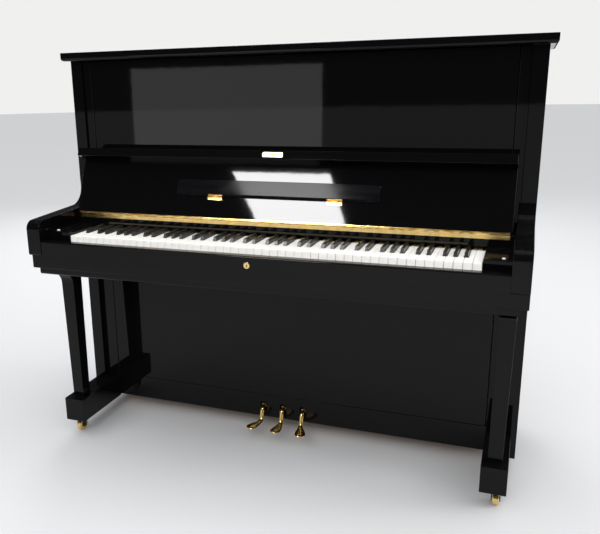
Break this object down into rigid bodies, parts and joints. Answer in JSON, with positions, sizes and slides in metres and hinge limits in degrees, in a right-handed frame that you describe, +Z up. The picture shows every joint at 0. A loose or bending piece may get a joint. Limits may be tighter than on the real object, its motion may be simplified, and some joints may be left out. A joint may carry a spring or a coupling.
{
  "type": "upright piano",
  "caption": "Tall upright piano in black polyester with a fold-back lid, hinged keyboard cover with music ledge, full keyboard, brass pedals, tapered front legs and toe blocks on casters.",
  "frame": {"origin": "On the floor, midway across the case and midway between the arm fronts and the back of the posts.", "axes": "X runs to the player's right, Y to the back, Z up; the keyboard faces -Y."},
  "size_m": [1.5, 0.65, 1.27],
  "materials": {
    "black_lacquer": "high gloss black polyester lacquer",
    "brass": "polished",
    "black_iron": "black enamel",
    "beech": "clear satin",
    "spruce": "clear satin",
    "felt_and_wood": "raw wood and felt",
    "felt": "wool felt",
    "gold_plate": "gold bronze lacquer",
    "steel": "bright",
    "key_white": "polished",
    "key_black": "satin"
  },
  "bodies": {
    "case": {"left_side_panel": "black_lacquer", "right_side_panel": "black_lacquer", "left_arm": "black_lacquer", "right_arm": "black_lacquer", "legs": "black_lacquer", "toe_blocks": "black_lacquer", "key_bed": "black_lacquer", "key_slip": "black_lacquer", "key_blocks": "black_lacquer", "nameboard": "black_lacquer", "front_stiles": "black_lacquer", "bottom_rail": "black_lacquer", "rear_lid": "black_lacquer", "lid_hinge_fixed_leaf": "brass", "fallboard_hinge_fixed_leaf": "brass", "lock_escutcheon": "brass", "caster_forks": "black_iron", "pedal_brackets": "black_iron", "action_frame": "black_iron", "back_frame": "beech", "bottom_board": "beech", "key_frame": "beech", "wippens": "beech", "soundboard": "spruce", "ribs_and_bridges": "spruce", "iron_plate": "gold_plate", "strings_and_pins": "steel"},
    "front_lid": {"front_lid": "black_lacquer", "lid_hinge_moving_leaf": "brass"},
    "fallboard": {"fallboard": "black_lacquer", "fallboard_hinge_moving_leaf": "brass", "music_ledge_hinge_plates": "brass", "strike_plate": "brass"},
    "music_ledge": {"music_ledge": "black_lacquer", "music_ledge_hinge_leaves": "brass"},
    "upper_panel": {"upper_panel": "black_lacquer"},
    "lower_panel": {"lower_panel": "black_lacquer"},
    "left_pedal": {"left_pedal": "brass"},
    "middle_pedal": {"middle_pedal": "brass"},
    "right_pedal": {"right_pedal": "brass"},
    "left_pedal_rod": {"left_pedal_rod": "beech"},
    "middle_pedal_rod": {"middle_pedal_rod": "beech"},
    "right_pedal_rod": {"right_pedal_rod": "beech"},
    "hammers": {"hammers": "felt_and_wood"},
    "dampers": {"dampers": "beech"},
    "muffler_rail": {"muffler_rail": "felt"},
    "front_caster_wheels": {"front_caster_wheels": "brass"},
    "rear_caster_wheels": {"rear_caster_wheels": "brass"},
    "keys_c": {"keys_c": "key_white"},
    "keys_d": {"keys_d": "key_white"},
    "keys_e": {"keys_e": "key_white"},
    "keys_f": {"keys_f": "key_white"},
    "keys_g": {"keys_g": "key_white"},
    "keys_a": {"keys_a": "key_white"},
    "keys_b": {"keys_b": "key_white"},
    "keys_c_sharp": {"keys_c_sharp": "key_black"},
    "keys_d_sharp": {"keys_d_sharp": "key_black"},
    "keys_f_sharp": {"keys_f_sharp": "key_black"},
    "keys_g_sharp": {"keys_g_sharp": "key_black"},
    "keys_a_sharp": {"keys_a_sharp": "key_black"}
  },
  "joints": [
    {"name": "front_lid_hinge", "type": "hinge", "parent": "case", "child": "front_lid", "pos_m": [0, 0.11, 1.267], "axis": [1, 0, 0], "range_deg": [-175, 0]},
    {"name": "fallboard_hinge", "type": "hinge", "parent": "case", "child": "fallboard", "pos_m": [0, -0.119, 0.759], "axis": [1, 0, 0], "range_deg": [0, 112]},
    {"name": "music_ledge_hinge", "type": "hinge", "parent": "fallboard", "child": "music_ledge", "pos_m": [0, -0.10466, 0.82385], "axis": [-1, 0, 0], "range_deg": [-95, 0]},
    {"name": "upper_panel_tilt", "type": "hinge", "parent": "case", "child": "upper_panel", "pos_m": [0, -0.015, 0.759], "axis": [1, 0, 0], "range_deg": [0, 5]},
    {"name": "lower_panel_tilt", "type": "hinge", "parent": "case", "child": "lower_panel", "pos_m": [0, -0.004, 0.144], "axis": [1, 0, 0], "range_deg": [0, 20]},
    {"name": "keys_c_press", "type": "hinge", "parent": "case", "child": "keys_c", "pos_m": [0, -0.05, 0.688], "axis": [1, 0, 0], "range_deg": [0, 2.6], "stiffness_Nm_per_rad": 60, "springref_deg": -1.15},
    {"name": "keys_d_press", "type": "hinge", "parent": "case", "child": "keys_d", "pos_m": [0, -0.05, 0.688], "axis": [1, 0, 0], "range_deg": [0, 2.6], "stiffness_Nm_per_rad": 60, "springref_deg": -1.15},
    {"name": "keys_e_press", "type": "hinge", "parent": "case", "child": "keys_e", "pos_m": [0, -0.05, 0.688], "axis": [1, 0, 0], "range_deg": [0, 2.6], "stiffness_Nm_per_rad": 60, "springref_deg": -1.15},
    {"name": "keys_f_press", "type": "hinge", "parent": "case", "child": "keys_f", "pos_m": [0, -0.05, 0.688], "axis": [1, 0, 0], "range_deg": [0, 2.6], "stiffness_Nm_per_rad": 60, "springref_deg": -1.15},
    {"name": "keys_g_press", "type": "hinge", "parent": "case", "child": "keys_g", "pos_m": [0, -0.05, 0.688], "axis": [1, 0, 0], "range_deg": [0, 2.6], "stiffness_Nm_per_rad": 60, "springref_deg": -1.15},
    {"name": "keys_a_press", "type": "hinge", "parent": "case", "child": "keys_a", "pos_m": [0, -0.05, 0.688], "axis": [1, 0, 0], "range_deg": [0, 2.6], "stiffness_Nm_per_rad": 60, "springref_deg": -1.15},
    {"name": "keys_b_press", "type": "hinge", "parent": "case", "child": "keys_b", "pos_m": [0, -0.05, 0.688], "axis": [1, 0, 0], "range_deg": [0, 2.6], "stiffness_Nm_per_rad": 60, "springref_deg": -1.15},
    {"name": "keys_c_sharp_press", "type": "hinge", "parent": "case", "child": "keys_c_sharp", "pos_m": [0, -0.05, 0.688], "axis": [1, 0, 0], "range_deg": [0, 2.6], "stiffness_Nm_per_rad": 60, "springref_deg": -1.15},
    {"name": "keys_d_sharp_press", "type": "hinge", "parent": "case", "child": "keys_d_sharp", "pos_m": [0, -0.05, 0.688], "axis": [1, 0, 0], "range_deg": [0, 2.6], "stiffness_Nm_per_rad": 60, "springref_deg": -1.15},
    {"name": "keys_f_sharp_press", "type": "hinge", "parent": "case", "child": "keys_f_sharp", "pos_m": [0, -0.05, 0.688], "axis": [1, 0, 0], "range_deg": [0, 2.6], "stiffness_Nm_per_rad": 60, "springref_deg": -1.15},
    {"name": "keys_g_sharp_press", "type": "hinge", "parent": "case", "child": "keys_g_sharp", "pos_m": [0, -0.05, 0.688], "axis": [1, 0, 0], "range_deg": [0, 2.6], "stiffness_Nm_per_rad": 60, "springref_deg": -1.15},
    {"name": "keys_a_sharp_press", "type": "hinge", "parent": "case", "child": "keys_a_sharp", "pos_m": [0, -0.05, 0.688], "axis": [1, 0, 0], "range_deg": [0, 2.6], "stiffness_Nm_per_rad": 60, "springref_deg": -1.15},
    {"name": "left_pedal_press", "type": "hinge", "parent": "case", "child": "left_pedal", "pos_m": [0, 0.05, 0.098], "axis": [1, 0, 0], "range_deg": [0, 8], "stiffness_Nm_per_rad": 30, "springref_deg": -8.59},
    {"name": "left_rod_lift", "type": "slide", "parent": "case", "child": "left_pedal_rod", "axis": [0, 0, 1], "range_m": [0, 0.0115]},
    {"name": "middle_pedal_press", "type": "hinge", "parent": "case", "child": "middle_pedal", "pos_m": [0, 0.05, 0.098], "axis": [1, 0, 0], "range_deg": [0, 8], "stiffness_Nm_per_rad": 30, "springref_deg": -8.59},
    {"name": "middle_rod_lift", "type": "slide", "parent": "case", "child": "middle_pedal_rod", "axis": [0, 0, 1], "range_m": [0, 0.0115]},
    {"name": "right_pedal_press", "type": "hinge", "parent": "case", "child": "right_pedal", "pos_m": [0, 0.05, 0.098], "axis": [1, 0, 0], "range_deg": [0, 8], "stiffness_Nm_per_rad": 30, "springref_deg": -8.59},
    {"name": "right_rod_lift", "type": "slide", "parent": "case", "child": "right_pedal_rod", "axis": [0, 0, 1], "range_m": [0, 0.0115]},
    {"name": "hammer_rail_swing", "type": "hinge", "parent": "case", "child": "hammers", "pos_m": [0, 0.082, 0.9], "axis": [1, 0, 0], "range_deg": [-5, 0]},
    {"name": "muffler_drop", "type": "slide", "parent": "case", "child": "muffler_rail", "axis": [0, 0, -1], "range_m": [0, 0.037]},
    {"name": "damper_swing", "type": "hinge", "parent": "case", "child": "dampers", "pos_m": [0, 0.122, 0.84], "axis": [1, 0, 0], "range_deg": [0, 3]},
    {"name": "front_caster_roll", "type": "hinge", "parent": "case", "child": "front_caster_wheels", "pos_m": [0, -0.188, 0.022], "axis": [1, 0, 0], "continuous": true},
    {"name": "rear_caster_roll", "type": "hinge", "parent": "case", "child": "rear_caster_wheels", "pos_m": [0, 0.275, 0.022], "axis": [1, 0, 0], "continuous": true}
  ],
  "couplings": [
    {"joint": "left_rod_lift", "follows": "left_pedal_press", "m_per_rad": 0.08},
    {"joint": "middle_rod_lift", "follows": "middle_pedal_press", "m_per_rad": 0.08},
    {"joint": "right_rod_lift", "follows": "right_pedal_press", "m_per_rad": 0.08},
    {"joint": "hammer_rail_swing", "follows": "left_pedal_press", "ratio": -0.6},
    {"joint": "muffler_drop", "follows": "middle_pedal_press", "m_per_rad": 0.25},
    {"joint": "damper_swing", "follows": "right_pedal_press", "ratio": 0.35}
  ]
}
